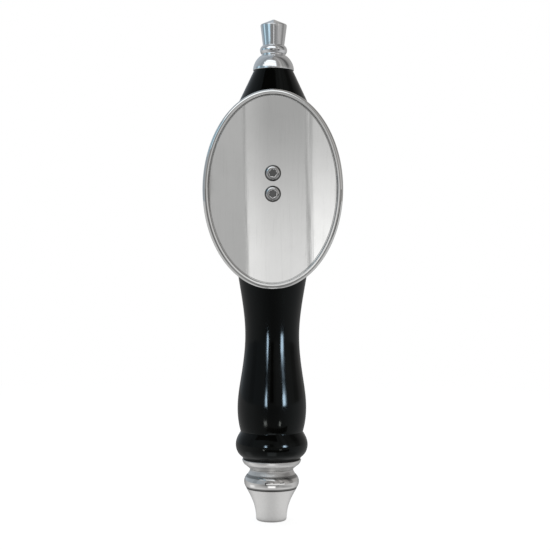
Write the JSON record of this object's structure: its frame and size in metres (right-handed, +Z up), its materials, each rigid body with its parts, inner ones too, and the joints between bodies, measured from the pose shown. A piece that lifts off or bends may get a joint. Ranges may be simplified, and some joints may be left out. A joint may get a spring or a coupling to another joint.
{
  "type": "beer tap handle",
  "caption": "Turned pub-style beer tap handle with a chrome screw-on ferrule, an oval shield plate on its front and a screwed chrome finial.",
  "frame": {"origin": "centre of the ferrule's foot, at the mouth of the threaded socket that takes the tap's lever", "axes": "+Z up along the handle's axis, towards the finial; the shield faces -Y; +X to the right of someone facing the shield"},
  "size_m": [0.082, 0.0538, 0.3],
  "materials": {
    "ferrule_chrome": "satin chrome with a polished bead",
    "washer_rubber": "matt",
    "zinc_steel": "bright zinc plate",
    "black_lacquer": "gloss black lacquer over turned wood",
    "shield_chrome": "mirror polished",
    "screw_chrome": "polished",
    "insert_brass": "machined",
    "finial_chrome": "polished"
  },
  "bodies": {
    "ferrule": {"ferrule": "ferrule_chrome"},
    "washer": {"ferrule_washer": "washer_rubber"},
    "handle": {"handle_body": "black_lacquer", "hanger_bolt": "zinc_steel", "shield_plate": "shield_chrome", "shield_screw_upper": "screw_chrome", "shield_screw_lower": "screw_chrome", "shield_insert_upper": "insert_brass", "shield_insert_lower": "insert_brass", "finial_stud": "zinc_steel"},
    "cap": {"finial_cap": "finial_chrome"},
    "knob": {"finial_knob": "finial_chrome"}
  },
  "joints": [
    {"name": "handle_turn", "type": "hinge", "parent": "ferrule", "child": "washer", "pos_m": [0, 0, 0.0369], "axis": [0, 0, 1], "range_deg": [0, 3600]},
    {"name": "handle_lift", "type": "slide", "parent": "washer", "child": "handle", "axis": [0, 0, 1], "range_m": [0, 0.01412]},
    {"name": "finial_turn", "type": "hinge", "parent": "handle", "child": "cap", "pos_m": [0, 0, 0.2695], "axis": [0, 0, 1], "range_deg": [0, 2880]},
    {"name": "finial_lift", "type": "slide", "parent": "cap", "child": "knob", "axis": [0, 0, 1], "range_m": [0, 0.01017]}
  ],
  "couplings": [
    {"joint": "handle_lift", "follows": "handle_turn", "m_per_rad": 0.00022459},
    {"joint": "finial_lift", "follows": "finial_turn", "m_per_rad": 0.00020213}
  ]
}
